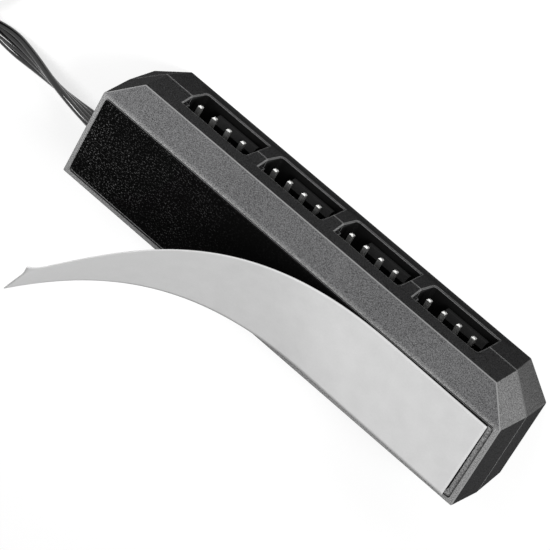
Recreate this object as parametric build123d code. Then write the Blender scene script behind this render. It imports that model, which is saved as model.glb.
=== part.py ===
"""Four-port fan hub with an adhesive pad, a half-peeled liner and a four-core lead.

Millimetres, +Z up. The hub lies on its cover face with the adhesive face up.
The origin is the middle of the cover face, +X runs along the row of ports away
from the lead, and +Y points out of the ports.
"""
import os
from math import cos, pi, radians, sin, sqrt, tan

from build123d import *

# Housing outline at the seam, where it is widest
seam_length = 70.4
seam_width = 18.2
corner_cut = 4.4
seam_height = 5.85
body_height = 12.25

# Mould draft of the two halves, as the inset of the face away from the seam
base_draft = 0.4
far_draft = 0.1
cover_end_draft = 0.2
cover_side_draft = 0.8
cover_cut_length = 4.9
cover_cut_width = 3.6

# Walls of the housing
wall = 1.7
cover_floor = 1.4
ceiling_wall = 1.8
bay_wall = 1.2

# Small roundings on the moulded edges
edge_radius = 0.2
cover_edge_radius = 0.3
seam_bevel = 0.1
mouth_bevel = 0.15

# Flat land under the pad, and the sloped strip between it and the ports
land_width = 13.3
strip_angle = 18.0

# Recess for the pad, and the rim around it
recess_depth = 0.3
rim_end = 0.75
rim_far = 0.65
rim_port = 0.15
rim_round = 0.4

# Lip that locates the cover in the base
lip_thickness = 0.7
lip_height = 0.8
lip_clearance = 0.1

# Row of ports
port_count = 4
port_pitch = 13.5
socket_width = 11.1
socket_height = 6.36
socket_bulge = 0.22
socket_drop = 0.6
socket_round = 0.5
key_width = 0.5
key_height = 1.2
key_recess = 0.55

# Header pins and wafers
pins_per_port = 4
pin_pitch = 2.54
pin_size = 0.64
pin_point = 0.2
pin_recess = 0.4
pin_exposed = 7.8
pin_tail = 1.4
pin_row_shift = -0.35
pin_row_rise = 0.39
pin_clearance = 0.02
wafer_thickness = 3.2
wafer_depth = 5.8
wafer_clearance = 0.1
tab_thickness = 1.0
tab_gap = 1.74
tab_recess = 1.3
tab_margin = 0.6
tab_ramp = 0.3
tab_ramp_length = 1.6

# Circuit board and the ribs that hold it
board_thickness = 1.2
board_clearance = 0.1
board_hole = 0.9
rib_thickness = 1.2
rib_width = 1.0
rib_gap = 0.35
rib_inset = 3.0

# Adhesive pad
pad_thickness = 0.5
pad_clearance = 0.05
pad_end_gap = 0.85
pad_far_gap = 0.45
pad_port_gap = 0.15
pad_round = 0.7

# Release liner: how it was laid, where it lifts, the slant of its bends and how far it turns up
liner_thickness = 0.12
liner_seat = 0.02
liner_far_lap = 0.5
liner_port_lap = 0.05
liner_skew = 0.65
peel_start = 15.2
peel_slant = 56.9
peel_angle = 78.2
peel_run = 41.4
peel_ease = 0.72

# Four-core lead
core_count = 4
wire_diameter = 1.0
wire_pitch = 1.1
wire_lap = 5.5
slot_clearance = 0.05
lead_diameter = 2.2
lead_straight = 5.8
lead_fall = 10.8
lead_settle = 9.7
lead_lay = 9.7
lead_drift = 2.8
knee_drift = 0.46
rest_drift = 0.72
lead_knee = 0.8

# Put-away coil of the lead, its tie and its tail
coil_radius = 11.0
coil_layers = 2
coil_bevel = 0.8
tie_thickness = 0.4
tie_width = 2.4
tie_clearance = 0.12
tie_round = 0.7
tie_bearing = 90.0
tail_length = 16.5

# Plug on the far end of the lead
plug_length = 11.8
plug_width = 10.7
plug_height = 5.4
plug_bevel = 0.3
plug_rib_width = 1.0
plug_rib_height = 0.5
plug_rib_spacing = 5.1
plug_face_wall = 1.4
plug_entry = 1.0
terminal_size = 1.8
terminal_bore = 0.9
terminal_length = 7.0
terminal_clearance = 0.05

# Places worked out from the sizes above
port_face = seam_width / 2
land_far = far_draft - seam_width / 2
land_end = seam_length / 2 - base_draft
strip_start = land_far + land_width
recess_floor = body_height - recess_depth
ceiling = recess_floor - ceiling_wall
socket_centre = seam_height - socket_drop
pin_row = socket_centre + pin_row_rise
pin_tip = port_face - pin_recess
wafer_front = pin_tip - pin_exposed
board_front = wafer_front - wafer_thickness
board_back = board_front - board_thickness
bay_front = wafer_front + wafer_clearance
tab_face = pin_row - tab_gap
bay_end = (port_count - 1) * port_pitch / 2 + socket_width / 2 + socket_bulge + bay_wall
cavity_end = seam_length / 2 - wall
wire_line = board_back - wire_diameter / 2
lead_exit = -seam_length / 2
coil_low = tie_thickness + lead_diameter / 2
lead_rest = lead_exit - lead_straight - lead_fall - lead_settle
coil_meet = lead_rest - lead_lay
coil_side = wire_line - lead_drift
plug_rear = coil_meet - tail_length
plug_axis = plug_height / 2

# Corners of the lead's run to the coil
lead_points = [
    (lead_exit, wire_line, seam_height),
    (lead_exit - lead_straight, wire_line, seam_height),
    (lead_rest + lead_settle, wire_line - knee_drift * lead_drift, lead_diameter / 2 + lead_knee),
    (lead_rest, wire_line - rest_drift * lead_drift, lead_diameter / 2),
    (coil_meet, coil_side, coil_low),
]


def span(x0, x1, y0, y1, z0, z1):
    """Block between two opposite corners."""
    block = Box(x1 - x0, y1 - y0, z1 - z0)
    return Pos((x0 + x1) / 2, (y0 + y1) / 2, (z0 + z1) / 2) * block


def plan(end_inset, port_inset, far_inset, cut_length, cut_width, height):
    """Plan outline with its two port-side corners cut, as a face at one height."""
    x = seam_length / 2 - end_inset
    y = seam_width / 2 - port_inset
    far = far_inset - seam_width / 2
    corners = [
        (-x, far),
        (x, far),
        (x, y - cut_width),
        (x - cut_length, y),
        (cut_length - x, y),
        (-x, y - cut_width),
    ]
    return Pos(0, 0, height) * make_face(Polyline(*corners, close=True))


def inset_plan(inset, height):
    """Seam outline moved inwards by the same amount on every side."""
    cut = corner_cut - (2 - sqrt(2)) * inset
    return plan(inset, inset, inset, cut, cut, height)


def prism(inset, bottom, top):
    """Upright prism of the inset seam outline."""
    return extrude(inset_plan(inset, bottom), top - bottom)


def port_centres():
    """Middle of each port along the row."""
    first = -(port_count - 1) * port_pitch / 2
    return [first + port_pitch * index for index in range(port_count)]


def pin_places(centre):
    """Place of each pin of one port along the row."""
    first = centre + pin_row_shift - (pins_per_port - 1) * pin_pitch / 2
    return [first + pin_pitch * index for index in range(pins_per_port)]


def wire_heights():
    """Height of each core in the end slot, stacked about the seam."""
    first = seam_height - (core_count - 1) * wire_pitch / 2
    return [first + wire_pitch * index for index in range(core_count)]


def cavity():
    """Hollow of the closed housing, behind and beside the block of sockets."""
    hollow = prism(wall, cover_floor, ceiling)
    return hollow - span(-bay_end, bay_end, bay_front, seam_width, 0, body_height)


def socket(centre):
    """Socket tunnel, widest at the seam, with the keying rib left standing in it."""
    half = socket_width / 2
    low = socket_centre - socket_height / 2
    high = socket_centre + socket_height / 2
    mouth = [
        (-half, low),
        (half, low),
        (half + socket_bulge, seam_height),
        (half, high),
        (-half, high),
        (-half - socket_bulge, seam_height),
    ]
    outline = make_face(Polyline(*mouth, close=True))
    rounded = [corner for corner in outline.vertices() if corner.X * (corner.Y - seam_height) > half]
    outline = fillet(rounded, socket_round)
    tunnel = extrude(Plane.XZ * outline, seam_width - bay_front + wafer_clearance)
    tunnel = Pos(0, seam_width, 0) * tunnel
    key = span(
        -half - socket_bulge, key_width - half,
        bay_front - wafer_clearance, port_face - key_recess,
        high - key_height, high,
    )
    return Pos(centre, 0, 0) * (tunnel - key)


def lead_slot():
    """Slot at the seam in the lead end, as wide as one core and as tall as the row."""
    half_width = wire_diameter / 2 + slot_clearance
    rows = wire_heights()
    return span(
        -seam_length, -cavity_end,
        wire_line - half_width, wire_line + half_width,
        rows[0] - half_width, rows[-1] + half_width,
    )


def board_ribs(bottom, top):
    """Two pairs of ribs that stand on both faces of the board near its ends."""
    ribs = []
    for side in (-1, 1):
        x = side * (cavity_end - rib_inset)
        front = board_front + board_clearance
        back = board_back - board_clearance
        for near, far in ((front, front + rib_width), (back - rib_width, back)):
            ribs.append(span(x - rib_thickness / 2, x + rib_thickness / 2, near, far, bottom, top))
    return ribs


def lip_ring(outer_inset, inner_inset, height, limit):
    """Band along the inside of the wall at the seam, round the far side and the ends."""
    band = prism(outer_inset, seam_height, seam_height + height)
    band -= prism(inner_inset, seam_height, seam_height + height)
    return band - span(-seam_length, seam_length, limit, seam_width, 0, body_height)


def drafted_port_face(height):
    """How far out the port face stands at one height."""
    if height > seam_height:
        return port_face - base_draft * (height - seam_height) / (body_height - seam_height)
    return port_face - cover_side_draft * (seam_height - height) / seam_height


def break_mouths(shell):
    """Bevel the edges of the socket mouths on the port face of one half."""
    mouths = []
    for edge in shell.edges():
        middle = edge.center()
        beside = min(abs(middle.X - centre) for centre in port_centres())
        on_face = abs(middle.Y - drafted_port_face(middle.Z)) < seam_bevel / 2
        off_seam = abs(middle.Z - seam_height) > seam_bevel
        in_height = abs(middle.Z - socket_centre) < socket_height / 2 + seam_bevel
        if on_face and off_seam and in_height and beside < socket_width / 2 + socket_bulge:
            mouths.append(edge)
    return chamfer(mouths, mouth_bevel)


def seam_groove(side):
    """Bevel ring that opens the seam into a fine groove, above it or below it."""
    far = seam_height + side * seam_bevel
    low, high = min(seam_height, far), max(seam_height, far)
    core = loft([inset_plan(seam_bevel, seam_height), inset_plan(0, far)], ruled=True)
    return prism(-wall, low, high) - core


def base_shell():
    """Half with the adhesive face: drafted body, sloped strip, rimmed recess, half sockets."""
    cut = corner_cut - (2 - sqrt(2)) * base_draft
    top = plan(base_draft, base_draft, far_draft, cut, cut, body_height)
    shell = loft([inset_plan(0, seam_height), top], ruled=True)
    run = seam_width
    slope = [
        (strip_start, body_height),
        (strip_start + run, body_height),
        (strip_start + run, body_height - run * tan(radians(strip_angle))),
    ]
    shell -= extrude(Plane.YZ * make_face(Polyline(*slope, close=True)), seam_length, both=True)
    outer = [edge for edge in shell.edges() if edge.center().Z > seam_height + edge_radius]
    shell = fillet(outer, edge_radius)
    recess = span(
        rim_end - land_end, land_end - rim_end,
        land_far + rim_far, strip_start - rim_port,
        recess_floor, body_height + recess_depth,
    )
    shell -= fillet(recess.edges().filter_by(Axis.Z), rim_round)
    shell -= cavity()
    for centre in port_centres():
        shell -= socket(centre)
    shell = break_mouths(shell)
    shell -= seam_groove(1)
    rebate = wall - lip_thickness - lip_clearance
    shell -= lip_ring(rebate, wall, lip_height + lip_clearance, bay_front + lip_clearance)
    shell += board_ribs(wire_heights()[-1] + wire_diameter / 2 + rib_gap, ceiling)
    shell -= lead_slot()
    return shell


def cover_shell():
    """Half on the other side of the seam: drafted tray with the locating lip."""
    side = cover_side_draft
    bottom = plan(cover_end_draft, side, side, cover_cut_length, cover_cut_width, 0)
    shell = loft([bottom, inset_plan(0, seam_height)], ruled=True)
    outer = [edge for edge in shell.edges() if edge.center().Z < seam_height - edge_radius]
    shell = fillet(outer, cover_edge_radius)
    shell -= cavity()
    for centre in port_centres():
        shell -= socket(centre)
    shell = break_mouths(shell)
    shell -= seam_groove(-1)
    shell += lip_ring(wall - lip_thickness, wall, lip_height, bay_front)
    shell += board_ribs(cover_floor, wire_heights()[0] - wire_diameter / 2 - rib_gap)
    shell -= lead_slot()
    return shell


def circuit_board():
    """Board on edge across the housing, drilled for the header pins."""
    half = cavity_end - board_clearance
    board = span(
        -half, half, board_back, board_front,
        cover_floor + board_clearance, ceiling - board_clearance,
    )
    drill = Box(board_hole, 3 * board_thickness, board_hole)
    for centre in port_centres():
        for x in pin_places(centre):
            board -= Pos(x, (board_front + board_back) / 2, pin_row) * drill
    return board


def header_body(centre):
    """Wafer on the board with its friction-lock tab beside three of the pins."""
    places = pin_places(centre)
    left = places[0] - pin_pitch / 2
    right = places[-1] + pin_pitch / 2
    low = tab_face - tab_thickness
    body = span(left, right, board_front, wafer_front, low, low + wafer_depth)
    tab_top = port_face - tab_recess
    profile = [
        (board_front, low),
        (tab_top, low),
        (tab_top, tab_face - tab_ramp),
        (tab_top - tab_ramp_length / 2, tab_face + tab_ramp),
        (tab_top - tab_ramp_length, tab_face),
        (board_front, tab_face),
    ]
    tab_left = places[1] - tab_margin
    tab = extrude(Plane.YZ * make_face(Polyline(*profile, close=True)), right - tab_left)
    body += Pos(tab_left, 0, 0) * tab
    bore = pin_size + 2 * pin_clearance
    for x in places:
        body -= Pos(x, (board_front + wafer_front) / 2, pin_row) * Box(bore, 2 * wafer_thickness, bore)
    return body


def header_pin(x):
    """Square pin from its solder tail behind the board to its pointed tip in the socket."""
    tail = board_back - pin_tail
    half = pin_size / 2
    pin = span(x - half, x + half, tail, pin_tip, pin_row - half, pin_row + half)
    ends = pin.faces().sort_by(Axis.Y)
    return chamfer(ends[0].edges() + ends[-1].edges(), pin_point)


def pad_edges():
    """Corners of the pad in plan: low x, high x, low y, high y."""
    return (
        rim_end - land_end + pad_clearance,
        land_end - rim_end - pad_end_gap,
        land_far + rim_far + pad_far_gap,
        strip_start - rim_port - pad_port_gap,
    )


def adhesive_pad():
    """Foam pad with rounded corners on the floor of the recess, standing proud of the rim."""
    pad = span(*pad_edges(), recess_floor, recess_floor + pad_thickness)
    return fillet(pad.edges().filter_by(Axis.Z), pad_round)


def peel_lift(distance, steps=60):
    """Reach along the pad and rise above it, at a distance past the peel line."""
    reach, rise = 0.0, 0.0
    step = distance / steps
    for index in range(steps):
        share = min((index + 0.5) * step / peel_run, 1.0)
        turn = radians(peel_angle) * (share * share * (3 - 2 * share)) ** peel_ease
        reach += step * cos(turn)
        rise += step * sin(turn)
    return reach, rise


def liner_point(along, across):
    """Point of the liner at a length from its free end and a width from its port edge."""
    slant = (sin(radians(peel_slant)), cos(radians(peel_slant)))
    distance = (along - peel_start) * slant[0] - across * slant[1]
    rise = 0.0
    if distance > 0:
        reach, rise = peel_lift(distance)
        along += slant[0] * (reach - distance)
        across -= slant[1] * (reach - distance)
    _, right, _, port = pad_edges()
    skew = radians(liner_skew)
    return Vector(
        right - along * cos(skew) - across * sin(skew),
        port + liner_port_lap + along * sin(skew) - across * cos(skew),
        recess_floor + pad_thickness + liner_seat + rise,
    )


def release_liner():
    """Paper liner over the pad, flat at the free end and rolled up on slanted bends."""
    left, right, far, port = pad_edges()
    length = right - left
    width = port - far + liner_port_lap + liner_far_lap
    columns, rows = 36, 7
    grid = []
    for column in range(columns):
        along = length * column / (columns - 1)
        grid.append([liner_point(along, width * (1 - row / (rows - 1))) for row in range(rows)])
    sheet = Face.make_surface_from_array_of_points(grid, tol=0.005)
    if sheet.normal_at(grid[0][0]).Z < 0:
        sheet = -sheet
    return thicken(sheet, liner_thickness)


def lead_wire(height):
    """Insulated core from the end slot to its lap on the back of the board."""
    start = -seam_length / 2
    length = wall + wire_lap
    core = Rot(0, 90, 0) * Cylinder(wire_diameter / 2, length)
    return Pos(start + length / 2, wire_line, height) * core


def cord_tube(points):
    """Round tube along straight runs joined by the widest tangent arcs they allow."""
    corners = [Vector(*point) for point in points]
    runs = [after - before for before, after in zip(corners, corners[1:])]
    radii = []
    for before, after in zip(runs, runs[1:]):
        shorter = min(before.length, after.length)
        radii.append(0.45 * shorter / tan(radians(before.get_angle(after)) / 2))
    path = FilletPolyline(*corners, radius=radii)
    start = Plane(path @ 0, z_dir=path % 0)
    tube = sweep(start * Circle(lead_diameter / 2), path=path)
    section = pi * lead_diameter**2 / 4
    print("radii", [round(radius, 1) for radius in radii])
    print("length", round(path.length, 1), "volume share", round(tube.volume / (section * path.length), 4))
    return tube


def coil_middle():
    """Middle of the put-away coil on the table, beside the end of the lead's run."""
    x, y, _ = lead_points[-1]
    return x, y + coil_radius + lead_diameter


def lead_coil():
    """Outer shape of the wound turns, two beside each other in each layer."""
    x, y = coil_middle()
    tall = coil_layers * lead_diameter
    section = Pos(coil_radius, tie_thickness + tall / 2) * Rectangle(2 * lead_diameter, tall)
    section = chamfer(section.vertices(), coil_bevel)
    return Pos(x, y, 0) * revolve(Plane.XZ * section, Axis.Z)


def coil_tie():
    """Flat strap closed round the turns at one place."""
    x, y = coil_middle()
    wide = 2 * lead_diameter + 2 * tie_clearance
    tall = coil_layers * lead_diameter + tie_clearance
    outside = RectangleRounded(wide + 2 * tie_thickness, tall + 2 * tie_thickness, tie_round + tie_thickness)
    strap = extrude(Plane.XZ * (outside - RectangleRounded(wide, tall, tie_round)), tie_width / 2, both=True)
    strap = Pos(coil_radius, 0, tie_thickness + tall / 2) * strap
    return Pos(x, y, 0) * Rot(0, 0, tie_bearing) * strap


def lead_tail():
    """Straight end of the lead, from the coil to the back of the plug."""
    tube = Rot(0, 90, 0) * Cylinder(lead_diameter / 2, tail_length)
    return Pos(plug_rear + tail_length / 2, coil_side, plug_axis) * tube


def plug_pitches():
    """Place of each terminal across the plug."""
    first = coil_side - (core_count - 1) * pin_pitch / 2
    return [first + pin_pitch * index for index in range(core_count)]


def plug_housing():
    """Female plug on the table, with a stepped way for each terminal and two keying ribs."""
    front = plug_rear - plug_length
    half = plug_width / 2
    body = span(front, plug_rear, coil_side - half, coil_side + half, 0, plug_height)
    body = chamfer(body.edges().filter_by(Axis.X), plug_bevel)
    rib = plug_rib_width / 2
    for side in (-1, 1):
        y = coil_side + side * plug_rib_spacing / 2
        body += span(front, plug_rear, y - rib, y + rib, 0, plug_height + plug_rib_height)
    way = terminal_size / 2 + terminal_clearance
    entry = plug_entry / 2
    for y in plug_pitches():
        body -= span(front + plug_face_wall, plug_rear, y - way, y + way, plug_axis - way, plug_axis + way)
        body -= span(front, plug_rear, y - entry, y + entry, plug_axis - entry, plug_axis + entry)
    return body


def plug_terminal(y):
    """Folded box contact behind the face of the plug."""
    front = plug_rear - plug_length + plug_face_wall
    back = front + terminal_length
    half = terminal_size / 2
    bore = terminal_bore / 2
    box = span(front, back, y - half, y + half, plug_axis - half, plug_axis + half)
    return box - span(front, back, y - bore, y + bore, plug_axis - bore, plug_axis + bore)


def build():
    """Every piece of the hub by name."""
    nodes = {
        "base_shell": base_shell(),
        "cover_shell": cover_shell(),
        "circuit_board": circuit_board(),
        "adhesive_pad": adhesive_pad(),
        "release_liner": release_liner(),
    }
    for port, centre in enumerate(port_centres(), start=1):
        nodes[f"header_body_{port}"] = header_body(centre)
        for pin, x in enumerate(pin_places(centre), start=1):
            nodes[f"header_pin_{port}_{pin}"] = header_pin(x)
    for core, height in enumerate(wire_heights(), start=1):
        nodes[f"lead_wire_{core}"] = lead_wire(height)
    coil = lead_coil()
    nodes["lead_coil"] = coil
    nodes["coil_tie"] = coil_tie()
    nodes["lead_cable"] = cord_tube(lead_points) - coil
    nodes["lead_tail"] = lead_tail() - coil
    nodes["plug_housing"] = plug_housing()
    for core, y in enumerate(plug_pitches(), start=1):
        nodes[f"plug_terminal_{core}"] = plug_terminal(y)
    return nodes


os.makedirs("parts", exist_ok=True)
for node_name, node_shape in build().items():
    export_step(node_shape, f"parts/{node_name}.step")
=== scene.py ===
"""Looks of a four-port fan hub: its finishes, lead, liner and pad, and a plain studio.

Metres, in the frame of the solids. The hub lies on its cover face, +X runs along
the row of ports away from the lead, and +Y points out of the ports.
"""
from math import cos, pi, radians, sin, tau

import bmesh
import bpy
from bpy.props import FloatProperty, FloatVectorProperty, PointerProperty
from mathutils import Matrix, Vector, noise


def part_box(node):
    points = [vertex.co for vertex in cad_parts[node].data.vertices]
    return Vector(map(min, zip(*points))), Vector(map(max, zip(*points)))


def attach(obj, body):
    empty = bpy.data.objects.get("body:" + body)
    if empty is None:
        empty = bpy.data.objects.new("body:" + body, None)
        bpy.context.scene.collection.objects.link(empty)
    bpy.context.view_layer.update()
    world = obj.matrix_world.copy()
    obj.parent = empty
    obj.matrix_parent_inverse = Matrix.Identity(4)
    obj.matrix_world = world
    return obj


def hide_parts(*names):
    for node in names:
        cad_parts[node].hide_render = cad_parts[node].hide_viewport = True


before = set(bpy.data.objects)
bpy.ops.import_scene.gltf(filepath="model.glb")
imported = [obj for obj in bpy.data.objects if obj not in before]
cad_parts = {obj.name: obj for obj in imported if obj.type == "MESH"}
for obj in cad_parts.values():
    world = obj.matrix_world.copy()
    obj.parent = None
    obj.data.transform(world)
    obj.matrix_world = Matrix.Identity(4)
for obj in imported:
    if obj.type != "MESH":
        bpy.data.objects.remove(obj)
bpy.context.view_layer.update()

bl_info = {
    "name": "Fan hub",
    "version": (1, 0, 0),
    "blender": (4, 5, 0),
    "location": "3D View > Sidebar > Fan hub",
    "description": "Finishes, lead, liner and pad of a four-port fan hub, with a studio",
    "category": "Object",
}

BODY = "root"
PORTS = range(1, 5)
CORES = range(4)

# Route of the lead from the end slot to the coil, and from the coil to the plug
LEAD_RUN = [
    (-0.0352, -0.0040, 0.00585),
    (-0.0410, -0.0040, 0.00585),
    (-0.0518, -0.0053, 0.0019),
    (-0.0615, -0.0060, 0.0011),
    (-0.0712, -0.0068, 0.0015),
]
TAIL_RUN = [
    (-0.0712, -0.0068, 0.0037),
    (-0.0772, -0.0068, 0.0037),
    (-0.0837, -0.0068, 0.0027),
    (-0.0877, -0.0068, 0.0027),
]
LEAD_DIAMETER = 0.0022
LEAD_STEP = 0.0009
COIL_TURNS = 4
COIL_STEPS = 18
COIL_OUTER = 0.0132
COIL_RISE = 0.2
PLUG_PITCH = 0.00254

# Liner: steps along its bend, segments of its grid and its clearance above the pad
PEEL_STEPS = 60
LINER_SEGMENTS = (160, 32)
LINER_CLEARANCE = 0.00002

# Pad: segments of its face, its corner radius, its dips and the fineness of the dips
PAD_SEGMENTS = (200, 38)
PAD_CORNER = 0.0007
PAD_DIP = 0.00003
PAD_EDGE_DIP = 0.00005
PAD_DIPS_PER_METRE = 1900.0

# Where the colours of the housing and the pad change, each a start and an end
STRIP_HEIGHT = (0.0085, 0.0095)
# LIP_HEIGHT: band of the painted highlight along the strip's upper edge.
LIP_HEIGHT = (0.01205, 0.01222)
# GAP_OUT, GAP_END: the land in the gap between the pad and the strip, which gets painted shade.
GAP_OUT = (0.0037, 0.0039)
GAP_END = (0.0337, 0.0341)
# SOCKETS_ALONG, SOCKETS_OUT, SOCKETS_HEIGHT: the walls inside the sockets, which get painted shade.
SOCKETS_ALONG = (-0.0275, 0.0275)
SOCKETS_OUT = (0.0010, 0.0086)
SOCKETS_HEIGHT = (0.0008, 0.0089)
# SPECKS_ALONG: where the specks on the pad fade out under painted shade of the liner.
SPECKS_ALONG = (-0.030, -0.006)
MASK_RAMP = 0.0003

HOUSING_GRAINS = 8000.0
HOUSING_BUMP = 0.000024
EDGE_RADIUS = 0.00013

# Lamps: direction from the hub, distance and size
KEY_PANEL = ((-0.766, 0.27, 0.586), 0.111, (0.030, 0.030))
SIDE_PANEL = ((0.72, 0.31, 0.62), 0.45, (0.20, 0.20))
FRONT_PANEL = ((-0.27, 0.79, 0.51), 0.45, (0.16, 0.07))
LAMP_AIM = (0.0, 0.0, 0.01)
FLOOR_GREY = 0.35
FLOOR_GLOW = 0.70

# Camera of the photograph, as turned about the middle of the hub's cover face
VIEW_AZIMUTH = radians(152.615)
VIEW_ELEVATION = radians(53.504)
VIEW_ROLL = radians(-116.764)
VIEW_DISTANCE = 0.44621
VIEW_SHIFT = (-0.007428, -0.002110)
VIEW_FOCAL_PIXELS = 3375.708
PHOTO_PIXELS = 550
SENSOR = 36.0


def smooth(share):
    """Ease from 0 to 1 with no slope at either end."""
    share = min(max(share, 0.0), 1.0)
    return share * share * (3 - 2 * share)


class HubFinish(bpy.types.PropertyGroup):
    """Colours of the hub's materials."""

    housing: FloatVectorProperty(
        name="Housing", description="Smooth faces of the moulded halves", subtype="COLOR",
        size=3, min=0, max=1, default=(0.029, 0.029, 0.0295),
    )
    # Strip: pale partly from its spark texture and partly from painted sheen in place of its gloss.
    strip: FloatVectorProperty(
        name="Strip", description="Textured strip between the pad and the ports", subtype="COLOR",
        size=3, min=0, max=1, default=(0.113, 0.113, 0.115),
    )
    # Lip: a painted highlight along the strip's upper edge beside the pad, where its rounding catches
    # the light.
    lip_highlight: FloatVectorProperty(
        name="Lip", description="Rubbed upper edge of the strip beside the pad", subtype="COLOR",
        size=3, min=0, max=1, default=(0.21, 0.21, 0.21),
    )
    # Land: pale partly from its spark texture and partly from painted sheen in place of its gloss.
    land: FloatVectorProperty(
        name="Land", description="Textured rim and floor round the pad", subtype="COLOR",
        size=3, min=0, max=1, default=(0.24, 0.24, 0.24),
    )
    # Free cut corner: pale partly from its texture and partly from painted light from the side; the
    # cover's corner is darker than the base's as painted shade.
    base_corner: FloatVectorProperty(
        name="Base corner", description="Textured free corner of the base", subtype="COLOR",
        size=3, min=0, max=1, default=(0.175, 0.175, 0.175),
    )
    cover_corner: FloatVectorProperty(
        name="Cover corner", description="Textured free corner of the cover", subtype="COLOR",
        size=3, min=0, max=1, default=(0.09, 0.09, 0.09),
    )
    # Edges: a painted highlight on the edges and roundings of the halves.
    edge: FloatVectorProperty(
        name="Edges", description="Rubbed edges of the halves", subtype="COLOR",
        size=3, min=0, max=1, default=(0.24, 0.24, 0.24),
    )
    # Hollows: painted shade in the hollow corners, on the walls inside the sockets and on the land in
    # the gap by the pad.
    hollow_shade: FloatVectorProperty(
        name="Hollows", description="Hollow corners, socket walls and the gap by the pad",
        subtype="COLOR", size=3, min=0, max=1, default=(0.006, 0.006, 0.006),
    )
    # Cut ends: the pins' bare cut ends, darkened by painted shade.
    cut: FloatVectorProperty(
        name="Cut ends", description="Bare cut ends of the pins", subtype="COLOR",
        size=3, min=0, max=1, default=(0.10, 0.10, 0.10),
    )
    nylon: FloatVectorProperty(
        name="Connectors", description="Header wafers and the plug", subtype="COLOR",
        size=3, min=0, max=1, default=(0.0025, 0.0025, 0.0026),
    )
    pad: FloatVectorProperty(
        name="Pad", description="Adhesive foam pad", subtype="COLOR",
        size=3, min=0, max=1, default=(0.0015, 0.0015, 0.0015),
    )
    pad_side: FloatVectorProperty(
        name="Pad sides", description="Cut sides of the pad", subtype="COLOR",
        size=3, min=0, max=1, default=(0.012, 0.012, 0.012),
    )
    # Fibres: pale specks on the pad's cell edges, painted glints.
    fibre: FloatVectorProperty(
        name="Fibres", description="Pale cell edges on the face of the pad", subtype="COLOR",
        size=3, min=0, max=1, default=(0.14, 0.14, 0.14),
    )
    liner: FloatVectorProperty(
        name="Liner", description="Release liner paper", subtype="COLOR",
        size=3, min=0, max=1, default=(0.57, 0.57, 0.57),
    )
    wire: FloatVectorProperty(
        name="Wire", description="Insulation of the lead", subtype="COLOR",
        size=3, min=0, max=1, default=(0.004, 0.004, 0.0042),
    )
    tin: FloatVectorProperty(
        name="Tin", description="Plating of pins and terminals", subtype="COLOR",
        size=3, min=0, max=1, default=(0.52, 0.52, 0.51),
    )
    board: FloatVectorProperty(
        name="Board", description="Solder mask of the circuit board", subtype="COLOR",
        size=3, min=0, max=1, default=(0.010, 0.045, 0.022),
    )


class HubLead(bpy.types.PropertyGroup):
    """Sizes of the strands in the lead."""

    strand: FloatProperty(
        name="Strand", description="Diameter of one insulated core", unit="LENGTH",
        default=0.00095,
    )
    stack: FloatProperty(
        name="Stack", description="Spacing of the cores in the end slot", unit="LENGTH",
        default=0.0011,
    )
    flat: FloatProperty(
        name="Flat", description="Length that stays a flat row of cores", unit="LENGTH",
        default=0.018,
    )
    gather: FloatProperty(
        name="Gather", description="Length over which the row draws into a bundle", unit="LENGTH",
        default=0.014,
    )
    twist: FloatProperty(
        name="Twist", description="Length of one turn of the row and the bundle", unit="LENGTH",
        default=0.096,
    )
    fan: FloatProperty(
        name="Fan", description="Length over which the cores spread to the plug", unit="LENGTH",
        default=0.009,
    )


class HubLiner(bpy.types.PropertyGroup):
    """Sizes of the half-peeled liner."""

    thickness: FloatProperty(
        name="Thickness", description="Thickness of the paper", unit="LENGTH", default=0.00012,
    )
    far_lap: FloatProperty(
        name="Far lap", description="How far it reaches past the pad away from the ports",
        unit="LENGTH", default=0.0005,
    )
    port_lap: FloatProperty(
        name="Port lap", description="How far it reaches past the pad towards the ports",
        unit="LENGTH", default=-0.00004,
    )
    skew: FloatProperty(
        name="Skew", description="How far it lies out of line with the pad", unit="ROTATION",
        default=radians(0.65),
    )
    peel_start: FloatProperty(
        name="Peel start", description="Stuck length along the port edge", unit="LENGTH",
        default=0.0152,
    )
    peel_slant: FloatProperty(
        name="Slant", description="Slant of the bends to the long edge", unit="ROTATION",
        default=radians(56.9),
    )
    peel_angle: FloatProperty(
        name="Turn", description="How far the lifted end turns up", unit="ROTATION",
        default=radians(78.2),
    )
    peel_run: FloatProperty(
        name="Run", description="Length over which it turns up", unit="LENGTH", default=0.0414,
    )
    peel_ease: FloatProperty(
        name="Ease", description="How gently the turn begins", default=0.72,
    )
    corner_turn: FloatProperty(
        name="Corner turn", description="How far the loose corner turns back", unit="ROTATION",
        default=radians(40.0),
    )
    corner_run: FloatProperty(
        name="Corner run", description="Length over which the corner turns back", unit="LENGTH",
        default=0.0030,
    )


class HubStage(bpy.types.PropertyGroup):
    """Light on the hub."""

    key: FloatProperty(
        name="Key", description="Brightness of the small panel over the lead end", default=20.0,
    )
    side: FloatProperty(
        name="Side", description="Brightness of the panel beside the free end", default=16.2,
    )
    front: FloatProperty(
        name="Front", description="Brightness of the panel before the ports", default=8.5,
    )
    ambient: FloatProperty(
        name="Ambient", description="Even light from all round", default=0.20,
    )


def add_node(tree, kind, **settings):
    """New node with the given settings."""
    node = tree.nodes.new(kind)
    for name, value in settings.items():
        setattr(node, name, value)
    return node


def new_material(name):
    """Empty node material with its shader: the material, its tree and its Principled BSDF."""
    material = bpy.data.materials.new(name)
    material.use_nodes = True
    tree = material.node_tree
    return material, tree, tree.nodes["Principled BSDF"]


def fill_socket(tree, socket, value):
    """Link a socket into another, or set its number or colour."""
    if isinstance(value, bpy.types.NodeSocket):
        tree.links.new(value, socket)
    elif socket.type == "RGBA":
        socket.default_value = (*value, 1.0)
    else:
        socket.default_value = value


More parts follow.
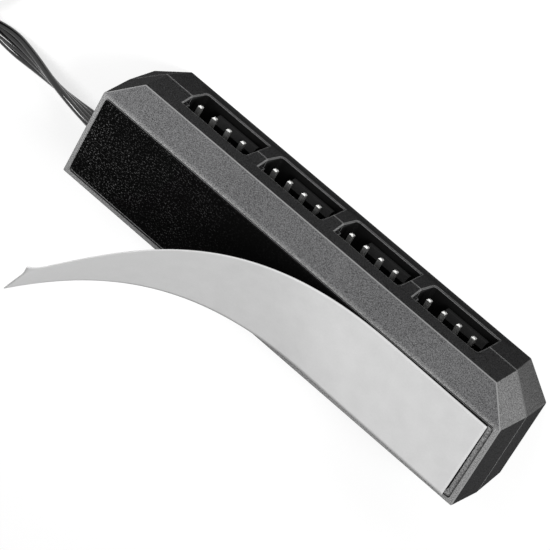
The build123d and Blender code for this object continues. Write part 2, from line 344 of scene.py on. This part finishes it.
def map_range(tree, value, low, high, to_low, to_high):
    """Value moved from one range to another, held at its ends."""
    node = add_node(tree, "ShaderNodeMapRange")
    for index, item in enumerate((value, low, high, to_low, to_high)):
        fill_socket(tree, node.inputs[index], item)
    return node.outputs["Result"]


def math_value(tree, operation, first, second=0.0):
    """Result of one Math node."""
    node = add_node(tree, "ShaderNodeMath", operation=operation)
    fill_socket(tree, node.inputs[0], first)
    fill_socket(tree, node.inputs[1], second)
    return node.outputs["Value"]


def multiply(tree, first, second):
    """Product of two values."""
    return math_value(tree, "MULTIPLY", first, second)


def tint(tree, colour, tone):
    """Colour, plain or a socket, made lighter and darker by a tone around 1."""
    node = add_node(tree, "ShaderNodeMix", data_type="RGBA", blend_type="MULTIPLY")
    node.inputs["Factor"].default_value = 1.0
    fill_socket(tree, node.inputs["A"], colour)
    tree.links.new(tone, node.inputs["B"])
    return node.outputs["Result"]


def noise_value(tree, vector, scale, detail=2.0, roughness=0.5):
    """Noise texture on a vector."""
    node = add_node(tree, "ShaderNodeTexNoise")
    tree.links.new(vector, node.inputs["Vector"])
    fill_socket(tree, node.inputs["Scale"], scale)
    node.inputs["Detail"].default_value = detail
    node.inputs["Roughness"].default_value = roughness
    return node.outputs["Fac"]


def bump(tree, shader, height, distance):
    """Bump on a shader's normal from a height."""
    node = add_node(tree, "ShaderNodeBump")
    node.inputs["Strength"].default_value = 1.0
    node.inputs["Distance"].default_value = distance
    tree.links.new(height, node.inputs["Height"])
    tree.links.new(node.outputs["Normal"], shader.inputs["Normal"])


def object_vector(tree):
    """Object coordinates."""
    return add_node(tree, "ShaderNodeTexCoord").outputs["Object"]


def new_group(name, inputs, outputs):
    """Shader node group with number inputs and outputs: its tree, input and output nodes."""
    existing = bpy.data.node_groups.get(name)
    if existing:
        return existing, None, None
    tree = bpy.data.node_groups.new(name, "ShaderNodeTree")
    for item in inputs:
        kind = "NodeSocketVector" if item == "Vector" else "NodeSocketFloat"
        tree.interface.new_socket(item, in_out="INPUT", socket_type=kind)
    for item in outputs:
        tree.interface.new_socket(item, in_out="OUTPUT", socket_type="NodeSocketFloat")
    return tree, add_node(tree, "NodeGroupInput"), add_node(tree, "NodeGroupOutput")


def grain_group():
    """Fine grain of a moulded face: Tone around 1, and Height, from grains to the metre."""
    tree, into, out = new_group("moulded_grain", ("Vector", "Grains", "Contrast"), ("Tone", "Height"))
    if into is None:
        return tree
    vector = into.outputs["Vector"]
    fine = noise_value(tree, vector, into.outputs["Grains"], 1.0, 0.4)
    cloud = noise_value(tree, vector, 90.0, 2.0)
    spread = map_range(tree, fine, 0.3, 0.7, -1.0, 1.0)
    spread = multiply(tree, spread, into.outputs["Contrast"])
    tone = math_value(tree, "ADD", spread, map_range(tree, cloud, 0.3, 0.7, 0.94, 1.06))
    tree.links.new(tone, out.inputs["Tone"])
    tree.links.new(fine, out.inputs["Height"])
    return tree


def edge_group():
    """Highlight, a painted highlight on the outer edges, and Shade, painted shade in the hollow
    corners, over a radius in metres.

    Each is 0 on a flat face.
    """
    tree, into, out = new_group("edge_light_and_shade", ("Radius",), ("Highlight", "Shade"))
    if into is None:
        return tree
    rounded = add_node(tree, "ShaderNodeBevel", samples=6)
    tree.links.new(into.outputs["Radius"], rounded.inputs["Radius"])
    flat = add_node(tree, "ShaderNodeNewGeometry")
    bend = add_node(tree, "ShaderNodeVectorMath", operation="DOT_PRODUCT")
    tree.links.new(rounded.outputs["Normal"], bend.inputs[0])
    tree.links.new(flat.outputs["True Normal"], bend.inputs[1])
    hollow = add_node(tree, "ShaderNodeAmbientOcclusion", samples=8, only_local=True)
    tree.links.new(into.outputs["Radius"], hollow.inputs["Distance"])
    open_air = hollow.outputs["AO"]
    # Painted highlight where the rounded normal bends away from the face, out in the open.
    edge_glint = map_range(tree, bend.outputs["Value"], 0.997, 0.94, 0.0, 1.0)
    edge_glint = multiply(tree, edge_glint, map_range(tree, open_air, 0.8, 0.95, 0.0, 1.0))
    tree.links.new(edge_glint, out.inputs["Highlight"])
    # Painted shade in the hollow corners, where the occlusion closes in.
    tree.links.new(map_range(tree, open_air, 0.85, 0.55, 0.0, 1.0), out.inputs["Shade"])
    return tree


def use_group(tree, group, **values):
    """Group placed in a material with its own values, on Object coordinates if it takes a vector."""
    node = add_node(tree, "ShaderNodeGroup", node_tree=group)
    if "Vector" in node.inputs:
        tree.links.new(object_vector(tree), node.inputs["Vector"])
    for name, value in values.items():
        node.inputs[name].default_value = value
    return node


def blend(tree, share, first, second):
    """Colour between two, each a plain colour or a socket."""
    node = add_node(tree, "ShaderNodeMix", data_type="RGBA")
    fill_socket(tree, node.inputs["Factor"], share)
    fill_socket(tree, node.inputs["A"], first)
    fill_socket(tree, node.inputs["B"], second)
    return node.outputs["Result"]


def parts_of(tree, vector):
    """X, Y and Z of a vector."""
    node = add_node(tree, "ShaderNodeSeparateXYZ")
    tree.links.new(vector, node.inputs["Vector"])
    return node.outputs["X"], node.outputs["Y"], node.outputs["Z"]


def face_normal(tree):
    """X, Y and Z of the direction that a face looks in."""
    return parts_of(tree, add_node(tree, "ShaderNodeNewGeometry").outputs["True Normal"])


def textured_faces(tree, normal, above):
    """Masks of the textured faces: strip with land, land alone and the free cut corner."""
    upper = multiply(tree, map_range(tree, normal[2], 0.35, 0.60, 0.0, 1.0), above)
    land = map_range(tree, normal[2], 0.965, 0.99, 0.0, 1.0)
    corner = map_range(tree, multiply(tree, normal[0], normal[1]), 0.22, 0.36, 0.0, 1.0)
    return upper, land, corner


def within(tree, value, low, high):
    """1 where a length in metres lies between two others, else 0, with a short ramp at each."""
    return multiply(
        tree,
        map_range(tree, value, low, low + MASK_RAMP, 0.0, 1.0),
        map_range(tree, value, high - MASK_RAMP, high, 1.0, 0.0),
    )


def socket_walls(tree, along, out, height):
    """1 on the walls inside the sockets, which get painted shade, else 0."""
    mask = multiply(tree, within(tree, along, *SOCKETS_ALONG), within(tree, out, *SOCKETS_OUT))
    return multiply(tree, mask, within(tree, height, *SOCKETS_HEIGHT))


def rounded_edges(tree, normal, above):
    """1 on the roundings round the adhesive face and the bevels on the port side, which get a painted
    highlight, else 0.
    """
    tilt = math_value(tree, "ABSOLUTE", normal[2])
    slanted = multiply(
        tree,
        map_range(tree, tilt, 0.16, 0.30, 0.0, 1.0),
        map_range(tree, tilt, 0.93, 0.86, 0.0, 1.0),
    )
    outward = map_range(tree, normal[1], 0.25, 0.40, 0.0, 0.10)
    return multiply(tree, slanted, math_value(tree, "MAXIMUM", above, outward))


def housing_finish(name, finish, corner_colour):
    """Black moulded plastic: fine spark texture on the sloped faces, smoother sides, painted highlights
    on the edges.
    """
    material, tree, shader = new_material(name)
    normal = face_normal(tree)
    along, out, height = parts_of(tree, object_vector(tree))
    above = map_range(tree, height, *STRIP_HEIGHT, 0.0, 1.0)
    upper, land, corner = textured_faces(tree, normal, above)
    textured = math_value(tree, "MAXIMUM", upper, corner)
    grain = use_group(tree, grain_group(), Grains=HOUSING_GRAINS, Contrast=0.60)
    edges = use_group(tree, edge_group(), Radius=EDGE_RADIUS)
    # Painted highlight along the strip's upper edge beside the pad.
    lip_highlight = map_range(tree, height, *LIP_HEIGHT, 0.0, 1.0)
    strip = blend(tree, lip_highlight, finish.strip, finish.lip_highlight)
    # Painted shade on the land in the gap between the pad and the strip.
    beside = multiply(
        tree,
        map_range(tree, out, *GAP_OUT, 0.0, 1.0),
        map_range(tree, math_value(tree, "ABSOLUTE", along), *GAP_END, 1.0, 0.0),
    )
    gap = blend(tree, beside, finish.land, finish.hollow_shade)
    # Strip and land tones carry painted sheen besides their texture.
    face = blend(tree, upper, finish.housing, blend(tree, land, strip, gap))
    # The free cut corner gets its colour with painted light.
    face = tint(tree, blend(tree, corner, face, corner_colour), grain.outputs["Tone"])
    # Painted shade on the walls inside the sockets.
    face = blend(tree, socket_walls(tree, along, out, height), face, finish.hollow_shade)
    # Painted highlight on the edges and roundings.
    sheen = math_value(tree, "MAXIMUM", edges.outputs["Highlight"], rounded_edges(tree, normal, above))
    highlighted = blend(tree, sheen, face, finish.edge)
    # Painted shade in the hollow corners.
    hollow_shade = multiply(tree, edges.outputs["Shade"], 0.85)
    tree.links.new(blend(tree, hollow_shade, highlighted, finish.hollow_shade), shader.inputs["Base Color"])
    tree.links.new(map_range(tree, textured, 0.0, 1.0, 0.95, 0.55), shader.inputs["Roughness"])
    shader.inputs["Specular IOR Level"].default_value = 0.02
    depth = multiply(tree, grain.outputs["Height"], map_range(tree, textured, 0.0, 1.0, 0.25, 1.0))
    bump(tree, shader, depth, HOUSING_BUMP)
    return material


def moulded_finish(name, colour, roughness, specular, grains, contrast, depth):
    """Moulded plastic with a fine grain."""
    material, tree, shader = new_material(name)
    grain = use_group(tree, grain_group(), Grains=grains, Contrast=contrast)
    tree.links.new(tint(tree, colour, grain.outputs["Tone"]), shader.inputs["Base Color"])
    gloss = map_range(tree, grain.outputs["Height"], 0.3, 0.7, roughness - 0.05, roughness + 0.05)
    tree.links.new(gloss, shader.inputs["Roughness"])
    shader.inputs["Specular IOR Level"].default_value = specular
    bump(tree, shader, grain.outputs["Height"], depth)
    return material


def tin_finish(finish):
    """Tin plate with faint drawing marks along the pin, and cut ends darkened by painted shade that
    reaches onto the tip bevels.
    """
    material, tree, shader = new_material("tin_plate")
    marks = add_node(tree, "ShaderNodeMapping")
    tree.links.new(object_vector(tree), marks.inputs["Vector"])
    marks.inputs["Scale"].default_value = (1.0, 0.08, 1.0)
    drawn = noise_value(tree, marks.outputs["Vector"], 9000.0, 3.0)
    tone = map_range(tree, drawn, 0.3, 0.7, 0.88, 1.08)
    # Painted shade on the cut ends and tip bevels that face out of the sockets.
    cut = map_range(tree, face_normal(tree)[1], 0.60, 0.90, 0.0, 1.0)
    plate = blend(tree, cut, finish.tin, finish.cut)
    tree.links.new(tint(tree, plate, tone), shader.inputs["Base Color"])
    tree.links.new(map_range(tree, drawn, 0.3, 0.7, 0.28, 0.42), shader.inputs["Roughness"])
    shader.inputs["Metallic"].default_value = 0.9
    return material


def wire_finish(colour):
    """Glossy extruded insulation with a faint orange-peel."""
    material, tree, shader = new_material("wire_insulation")
    peel = noise_value(tree, object_vector(tree), 1600.0, 2.0)
    tone = map_range(tree, peel, 0.3, 0.7, 0.8, 1.25)
    tree.links.new(tint(tree, colour, tone), shader.inputs["Base Color"])
    tree.links.new(map_range(tree, peel, 0.3, 0.7, 0.10, 0.16), shader.inputs["Roughness"])
    bump(tree, shader, peel, 0.000004)
    return material


def pad_finish(finish):
    """Black open foam with pale specks on its cell edges, painted glints, most at the lead end and
    fewer towards the liner, thinned there by painted shade of the liner.
    """
    material, tree, shader = new_material("pad_foam")
    vector = object_vector(tree)
    drawn = add_node(tree, "ShaderNodeMapping")
    tree.links.new(vector, drawn.inputs["Vector"])
    drawn.inputs["Scale"].default_value = (0.6, 1.0, 1.0)
    cells = noise_value(tree, drawn.outputs["Vector"], 6200.0, 1.5, 0.5)
    patches = noise_value(tree, vector, 260.0, 2.0)
    # Painted shade of the liner, thinning the specks from the lead end towards it.
    clear_of_liner_shade = map_range(tree, parts_of(tree, vector)[0], *SPECKS_ALONG, 1.0, 0.06)
    # Pale specks painted as glints of the cell edges.
    sparkle = multiply(
        tree,
        map_range(tree, cells, 0.57, 0.77, 0.0, 1.0),
        multiply(tree, clear_of_liner_shade, map_range(tree, patches, 0.35, 0.65, 0.35, 1.0)),
    )
    face = blend(tree, sparkle, finish.pad, finish.fibre)
    upward = map_range(tree, face_normal(tree)[2], 0.3, 0.7, 0.0, 1.0)
    tree.links.new(blend(tree, upward, finish.pad_side, face), shader.inputs["Base Color"])
    shader.inputs["Roughness"].default_value = 0.9
    shader.inputs["Specular IOR Level"].default_value = 0.02
    bump(tree, shader, cells, 0.00006)
    return material


def paper_finish(colour):
    """Coated liner paper with a faint cloudiness."""
    material, tree, shader = new_material("liner_paper")
    vector = object_vector(tree)
    cloud = noise_value(tree, vector, 420.0, 4.0)
    fibre = noise_value(tree, vector, 3800.0, 2.0)
    tone = multiply(
        tree,
        map_range(tree, cloud, 0.3, 0.7, 0.97, 1.03),
        map_range(tree, fibre, 0.3, 0.7, 0.985, 1.015),
    )
    tree.links.new(tint(tree, colour, tone), shader.inputs["Base Color"])
    tree.links.new(map_range(tree, cloud, 0.3, 0.7, 0.42, 0.52), shader.inputs["Roughness"])
    shader.inputs["Specular IOR Level"].default_value = 0.3
    bump(tree, shader, fibre, 0.000004)
    return material


def dress(names, material):
    """Give the solids of these names a material."""
    for name in names:
        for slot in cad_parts[name].material_slots:
            slot.material = material


def finish_piece(name, mesh, material, smooth_faces=True):
    """Object of a finished mesh at the origin, riding on the hub."""
    mesh.materials.append(material)
    if smooth_faces:
        mesh.shade_smooth()
    piece = bpy.data.objects.new(name, mesh)
    bpy.context.scene.collection.objects.link(piece)
    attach(piece, BODY)
    return piece


def mesh_of(name, shape):
    """Mesh of a finished bmesh."""
    mesh = bpy.data.meshes.new(name)
    shape.to_mesh(mesh)
    shape.free()
    return mesh


def coil_route():
    """Turns of the coil between the lead and its tail: inwards below, then outwards on top."""
    middle = Vector((LEAD_RUN[-1][0], LEAD_RUN[-1][1] + COIL_OUTER))
    low, high = LEAD_RUN[-1][2], TAIL_RUN[0][2]
    points = []
    for step in range(1, COIL_TURNS * COIL_STEPS):
        turns = step / COIL_STEPS
        radius = COIL_OUTER - LEAD_DIAMETER * min(turns, COIL_TURNS - turns)
        angle = -pi / 2 - tau * turns
        climb = smooth((turns - COIL_TURNS / 2) / COIL_RISE + 0.5)
        points.append((
            middle.x + radius * cos(angle), middle.y + radius * sin(angle), low + (high - low) * climb,
        ))
    return points


def curve_object(name, points, kind):
    """Curve object of one open spline through or along the points."""
    curve = bpy.data.curves.new(name, "CURVE")
    curve.dimensions = "3D"
    spline = curve.splines.new(kind)
    spline.points.add(len(points) - 1)
    for point, place in zip(spline.points, points):
        point.co = (*place, 1.0)
    return bpy.data.objects.new(name, curve), spline


def line_of(route):
    """Points along the smooth line of a route."""
    holder, spline = curve_object("lead_route", route, "NURBS")
    spline.order_u = 3
    spline.use_endpoint_u = True
    spline.resolution_u = 16
    mesh = bpy.data.meshes.new_from_object(holder)
    points = [vertex.co.copy() for vertex in mesh.vertices]
    bpy.data.curves.remove(holder.data)
    bpy.data.meshes.remove(mesh)
    return points


def evenly(points, step):
    """Points at an even step along a line, with the line's own ends."""
    lengths = [0.0]
    for before, after in zip(points, points[1:]):
        lengths.append(lengths[-1] + (after - before).length)
    count = max(2, round(lengths[-1] / step))
    even, index = [], 0
    for number in range(count + 1):
        wanted = lengths[-1] * number / count
        while index < len(points) - 2 and lengths[index + 1] < wanted:
            index += 1
        span = lengths[index + 1] - lengths[index]
        even.append(points[index].lerp(points[index + 1], (wanted - lengths[index]) / span))
    return even, lengths[-1] / count


def turned_frames(points):
    """Side and up directions carried along a line without twisting."""
    up = Vector((0, 0, 1))
    frames = []
    for index in range(len(points)):
        along = points[min(index + 1, len(points) - 1)] - points[max(index - 1, 0)]
        along.normalize()
        up = (up - along * up.dot(along)).normalized()
        frames.append((along.cross(up), up))
    return frames


def strand_lines(points, step, lead):
    """Centre line of each core: stacked at the slot, bundled along the lead, in a row at the plug."""
    frames = turned_frames(points)
    total = step * (len(points) - 1)
    reach = 0.72 * lead.strand
    order = (3 * pi / 2, 0.0, pi, pi / 2)

    def bundled(core, distance):
        angle = order[core] + tau * distance / lead.twist
        return Vector((reach * cos(angle), reach * sin(angle)))

    fan_start = total - lead.fan
    ranks = sorted(CORES, key=lambda core: bundled(core, fan_start).x)
    lines = []
    for core in CORES:
        rowed = Vector(((ranks.index(core) - 1.5) * PLUG_PITCH, 0.0))
        line = []
        for index, point in enumerate(points):
            distance = index * step
            turn = tau * distance / lead.twist
            stacked = Vector((sin(turn), cos(turn))) * (core - 1.5) * lead.stack
            offset = stacked.lerp(bundled(core, distance), smooth((distance - lead.flat) / lead.gather))
            offset = offset.lerp(rowed, smooth((distance - fan_start) / lead.fan))
            side, up = frames[index]
            line.append(point + side * offset.x + up * offset.y)
        lines.append(line)
    return lines, round(fan_start / step)


def strands_mesh(name, lines, radius):
    """Mesh of round cores along their centre lines."""
    shape = bmesh.new()
    for line in lines:
        holder, _ = curve_object("core", line, "POLY")
        holder.data.bevel_depth = radius
        holder.data.bevel_resolution = 3
        holder.data.use_fill_caps = True
        core = bpy.data.meshes.new_from_object(holder)
        shape.from_mesh(core)
        bpy.data.curves.remove(holder.data)
        bpy.data.meshes.remove(core)
    bmesh.ops.recalc_face_normals(shape, faces=shape.faces[:])
    return mesh_of(name, shape)


class FANHUB_OT_lead(bpy.types.Operator):
    """Four-core lead with its coil, and its cores' spread into the plug"""

    bl_idname = "fanhub.lead"
    bl_label = "Lead"

    def execute(self, context):
        lead = context.scene.hub_lead
        finish = context.scene.hub_finish
        wire = wire_finish(finish.wire)
        points, step = evenly(line_of(LEAD_RUN + coil_route() + TAIL_RUN), LEAD_STEP)
        lines, split = strand_lines(points, step, lead)
        bundled = [line[: split + 1] for line in lines]
        spread = [line[split:] for line in lines]
        bundle = finish_piece(
            "lead_bundle", strands_mesh("lead_bundle", bundled, lead.strand / 2), wire,
        )
        fan = finish_piece(
            "plug_wires", strands_mesh("plug_wires", spread, lead.strand / 2), wire,
        )
        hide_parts("lead_cable", "lead_coil", "lead_tail")
        plug = [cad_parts["plug_housing"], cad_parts["coil_tie"], fan]
        plug += [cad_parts[f"plug_terminal_{core + 1}"] for core in CORES]
        dress([f"lead_wire_{core + 1}" for core in CORES], wire)
        return {"FINISHED"}


def peel_lift(distance, liner):
    """Reach along the pad and rise above it, at a distance past the peel line."""
    reach, rise = 0.0, 0.0
    for index in range(PEEL_STEPS):
        place = (index + 0.5) * distance / PEEL_STEPS
        turn = liner.peel_angle * smooth(place / liner.peel_run) ** liner.peel_ease
        turn -= liner.corner_turn * smooth((place - liner.peel_run) / liner.corner_run)
        reach += cos(turn) * distance / PEEL_STEPS
        rise += sin(turn) * distance / PEEL_STEPS
    return reach, rise


def liner_place(along, across, liner):
    """Place of a liner point, from its free end and port edge, before it is laid on the pad."""
    slant = Vector((sin(liner.peel_slant), -cos(liner.peel_slant)))
    distance = Vector((along - liner.peel_start, across)).dot(slant)
    if distance <= 0:
        return Vector((-along, -across, 0.0))
    reach, rise = peel_lift(distance, liner)
    moved = Vector((along, across)) + slant * (reach - distance)
    return Vector((-moved.x, -moved.y, rise))


class FANHUB_OT_liner(bpy.types.Operator):
    """Release liner, flat at the free end and rolled up on slanted bends"""

    bl_idname = "fanhub.liner"
    bl_label = "Liner"

    def execute(self, context):
        liner = context.scene.hub_liner
        low, high = (Vector(corner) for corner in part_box("adhesive_pad"))
        length = high.x - low.x
        width = high.y - low.y + liner.far_lap + liner.port_lap
        place = Matrix.Translation((length / 2, width / 2, 0.0))
        place = place @ Matrix.Diagonal((length, width, 1.0, 1.0))
        shape = bmesh.new()
        bmesh.ops.create_grid(
            shape, x_segments=LINER_SEGMENTS[0], y_segments=LINER_SEGMENTS[1], size=0.5, matrix=place,
        )
        for vertex in shape.verts:
            vertex.co = liner_place(vertex.co.x, vertex.co.y, liner)
        laid = Matrix.Translation((high.x, high.y + liner.port_lap, high.z + LINER_CLEARANCE))
        laid = laid @ Matrix.Rotation(-liner.skew, 4, "Z")
        bmesh.ops.transform(shape, matrix=laid, verts=shape.verts[:])
        bmesh.ops.recalc_face_normals(shape, faces=shape.faces[:])
        shape.faces.ensure_lookup_table()
        if max(shape.faces, key=lambda face: face.calc_center_median().x).normal.z < 0:
            bmesh.ops.reverse_faces(shape, faces=shape.faces[:])
        piece = finish_piece(
            "liner_sheet", mesh_of("liner_sheet", shape), paper_finish(context.scene.hub_finish.liner),
        )
        skin = piece.modifiers.new("paper", "SOLIDIFY")
        skin.thickness = liner.thickness
        skin.offset = 1.0
        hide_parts("release_liner")
        return {"FINISHED"}


def rounded_corner(place, middle, half, radius):
    """Place moved inwards where it lies in a corner, so that a rectangle gets round corners."""
    offset = place - middle
    past = [max(abs(offset[axis]) - half[axis] + radius, 0.0) for axis in range(2)]
    if min(past) == 0.0:
        return place
    share = max(past) / Vector(past).length
    moved = [abs(offset[axis]) - past[axis] * (1 - share) for axis in range(2)]
    return middle + Vector([moved[axis] if offset[axis] > 0 else -moved[axis] for axis in range(2)])


class FANHUB_OT_pad(bpy.types.Operator):
    """Foam pad with an uneven open face"""

    bl_idname = "fanhub.pad"
    bl_label = "Pad"

    def execute(self, context):
        low, high = (Vector(corner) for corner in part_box("adhesive_pad"))
        size = high - low
        middle = (high + low) / 2
        place = Matrix.Translation((middle.x, middle.y, high.z))
        place = place @ Matrix.Diagonal((size.x, size.y, 1.0, 1.0))
        shape = bmesh.new()
        bmesh.ops.create_grid(
            shape, x_segments=PAD_SEGMENTS[0], y_segments=PAD_SEGMENTS[1], size=0.5, matrix=place,
        )
        for vertex in shape.verts:
            vertex.co.xy = rounded_corner(vertex.co.xy, middle.xy, size.xy / 2, PAD_CORNER)
            dip = 0.5 + 0.5 * noise.noise(vertex.co * PAD_DIPS_PER_METRE)
            vertex.co.z -= PAD_DIP * dip
            if vertex.is_boundary:
                vertex.co.z -= PAD_EDGE_DIP
        top = shape.faces[:]
        sides = bmesh.ops.extrude_face_region(shape, geom=top)
        under = [item for item in sides["geom"] if isinstance(item, bmesh.types.BMVert)]
        for vertex in under:
            vertex.co.z = low.z
        bmesh.ops.recalc_face_normals(shape, faces=shape.faces[:])
        piece = finish_piece(
            "pad_foam", mesh_of("pad_foam", shape), pad_finish(context.scene.hub_finish),
            smooth_faces=False,
        )
        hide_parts("adhesive_pad")
        return {"FINISHED"}


class FANHUB_OT_housing(bpy.types.Operator):
    """Finish of the two housing halves"""

    bl_idname = "fanhub.housing"
    bl_label = "Housing"

    def execute(self, context):
        finish = context.scene.hub_finish
        # Base and cover get different corner colours: painted light on the base's corner, painted shade
        # on the cover's.
        dress(["base_shell"], housing_finish("base_satin", finish, finish.base_corner))
        dress(["cover_shell"], housing_finish("cover_satin", finish, finish.cover_corner))
        return {"FINISHED"}


class FANHUB_OT_connectors(bpy.types.Operator):
    """Finishes of the headers, pins, board, plug and tie"""

    bl_idname = "fanhub.connectors"
    bl_label = "Connectors"

    def execute(self, context):
        finish = context.scene.hub_finish
        nylon = moulded_finish("connector_nylon", finish.nylon, 0.50, 0.12, 2600.0, 0.15, 0.000006)
        tin = tin_finish(finish)
        mask = moulded_finish("solder_mask", finish.board, 0.35, 0.45, 1500.0, 0.10, 0.000004)
        dress([f"header_body_{port}" for port in PORTS] + ["plug_housing", "coil_tie"], nylon)
        dress([f"header_pin_{port}_{core + 1}" for port in PORTS for core in CORES], tin)
        dress([f"plug_terminal_{core + 1}" for core in CORES], tin)
        dress(["circuit_board"], mask)
        return {"FINISHED"}


def seen_ray(tree):
    """1 for rays from the camera, from gloss or through glass, otherwise 0."""
    path = add_node(tree, "ShaderNodeLightPath")
    value = path.outputs["Is Camera Ray"]
    for name in ("Is Glossy Ray", "Is Transmission Ray"):
        value = math_value(tree, "MAXIMUM", value, path.outputs[name])
    return value


def light_panel(name, direction, distance, size, brightness):
    """Area lamp of an even brightness that faces the middle of the hub."""
    data = bpy.data.lights.new(name, "AREA")
    data.shape = "RECTANGLE"
    data.size, data.size_y = size
    data.energy = brightness * pi * size[0] * size[1]
    lamp = bpy.data.objects.new(name, data)
    bpy.context.scene.collection.objects.link(lamp)
    direction = Vector(direction).normalized()
    lamp.location = Vector(LAMP_AIM) + direction * distance
    lamp.rotation_euler = direction.to_track_quat("Z", "Y").to_euler()
    lamp.visible_camera = False


class FANHUB_OT_stage(bpy.types.Operator):
    """Pale floor, soft studio light and the camera of the photograph"""

    bl_idname = "fanhub.stage"
    bl_label = "Stage"

    def execute(self, context):
        stage = context.scene.hub_stage
        scene = context.scene
        scene.view_settings.view_transform = "Standard"
        self.add_camera(scene)
        self.add_floor()
        self.add_world(scene, stage.ambient)
        light_panel("key_panel", *KEY_PANEL, stage.key)
        light_panel("side_panel", *SIDE_PANEL, stage.side)
        light_panel("front_panel", *FRONT_PANEL, stage.front)
        return {"FINISHED"}

    def add_camera(self, scene):
        """Camera fitted to the photograph."""
        data = bpy.data.cameras.new("photo_camera")
        data.sensor_width = SENSOR
        data.lens = VIEW_FOCAL_PIXELS * SENSOR / PHOTO_PIXELS
        data.clip_start = 0.01
        data.clip_end = 10.0
        camera = bpy.data.objects.new("photo_camera", data)
        scene.collection.objects.link(camera)
        back = Vector((
            sin(VIEW_AZIMUTH) * cos(VIEW_ELEVATION),
            -cos(VIEW_AZIMUTH) * cos(VIEW_ELEVATION),
            sin(VIEW_ELEVATION),
        ))
        level = Vector((0, 0, 1)).cross(back).normalized()
        upright = back.cross(level)
        right = level * cos(VIEW_ROLL) + upright * sin(VIEW_ROLL)
        up = upright * cos(VIEW_ROLL) - level * sin(VIEW_ROLL)
        place = back * VIEW_DISTANCE + right * VIEW_SHIFT[0] + up * VIEW_SHIFT[1]
        turn = Matrix((right, up, back)).transposed().to_4x4()
        camera.matrix_world = Matrix.Translation(place) @ turn
        scene.camera = camera

    def add_floor(self):
        """Pale floor that keeps the hub's soft shadow."""
        shape = bmesh.new()
        bmesh.ops.create_grid(shape, x_segments=1, y_segments=1, size=3.0)
        floor = bpy.data.objects.new("floor", mesh_of("floor", shape))
        bpy.context.scene.collection.objects.link(floor)
        material, tree, shader = new_material("floor_pale")
        shader.inputs["Base Color"].default_value = (FLOOR_GREY, FLOOR_GREY, FLOOR_GREY, 1.0)
        shader.inputs["Roughness"].default_value = 0.9
        shader.inputs["Specular IOR Level"].default_value = 0.0
        shader.inputs["Emission Color"].default_value = (1.0, 1.0, 1.0, 1.0)
        glow = multiply(tree, seen_ray(tree), FLOOR_GLOW)
        tree.links.new(glow, shader.inputs["Emission Strength"])
        floor.data.materials.append(material)

    def add_world(self, scene, ambient):
        """Even light all round, seen as white."""
        world = bpy.data.worlds.new("studio")
        world.use_nodes = True
        tree = world.node_tree
        shader = tree.nodes["Background"]
        shader.inputs["Color"].default_value = (1.0, 1.0, 1.0, 1.0)
        strength = map_range(tree, seen_ray(tree), 0.0, 1.0, ambient, 1.0)
        tree.links.new(strength, shader.inputs["Strength"])
        scene.world = world


class FANHUB_PT_panel(bpy.types.Panel):
    """Steps that dress the hub"""

    bl_idname = "FANHUB_PT_panel"
    bl_label = "Fan hub"
    bl_space_type = "VIEW_3D"
    bl_region_type = "UI"
    bl_category = "Fan hub"

    def draw(self, context):
        for step in STEPS:
            self.layout.operator(step.bl_idname)
        for name in GROUPS:
            group = getattr(context.scene, name)
            for key in group.bl_rna.properties.keys():
                if key not in {"rna_type", "name"}:
                    self.layout.prop(group, key)


GROUPS = {"hub_finish": HubFinish, "hub_lead": HubLead, "hub_liner": HubLiner, "hub_stage": HubStage}
STEPS = (
    FANHUB_OT_stage,
    FANHUB_OT_lead,
    FANHUB_OT_liner,
    FANHUB_OT_pad,
    FANHUB_OT_housing,
    FANHUB_OT_connectors,
)


def register():
    for name, group in GROUPS.items():
        bpy.utils.register_class(group)
        setattr(bpy.types.Scene, name, PointerProperty(type=group))
    for step in STEPS:
        bpy.utils.register_class(step)
    bpy.utils.register_class(FANHUB_PT_panel)


def unregister():
    bpy.utils.unregister_class(FANHUB_PT_panel)
    for step in reversed(STEPS):
        bpy.utils.unregister_class(step)
    for name, group in reversed(GROUPS.items()):
        delattr(bpy.types.Scene, name)
        bpy.utils.unregister_class(group)


def main():
    """Dress the hub and set the stage."""
    register()
    bpy.ops.fanhub.stage()
    bpy.ops.fanhub.lead()
    bpy.ops.fanhub.liner()
    bpy.ops.fanhub.pad()
    bpy.ops.fanhub.housing()
    bpy.ops.fanhub.connectors()


if __name__ == "__main__":
    main()
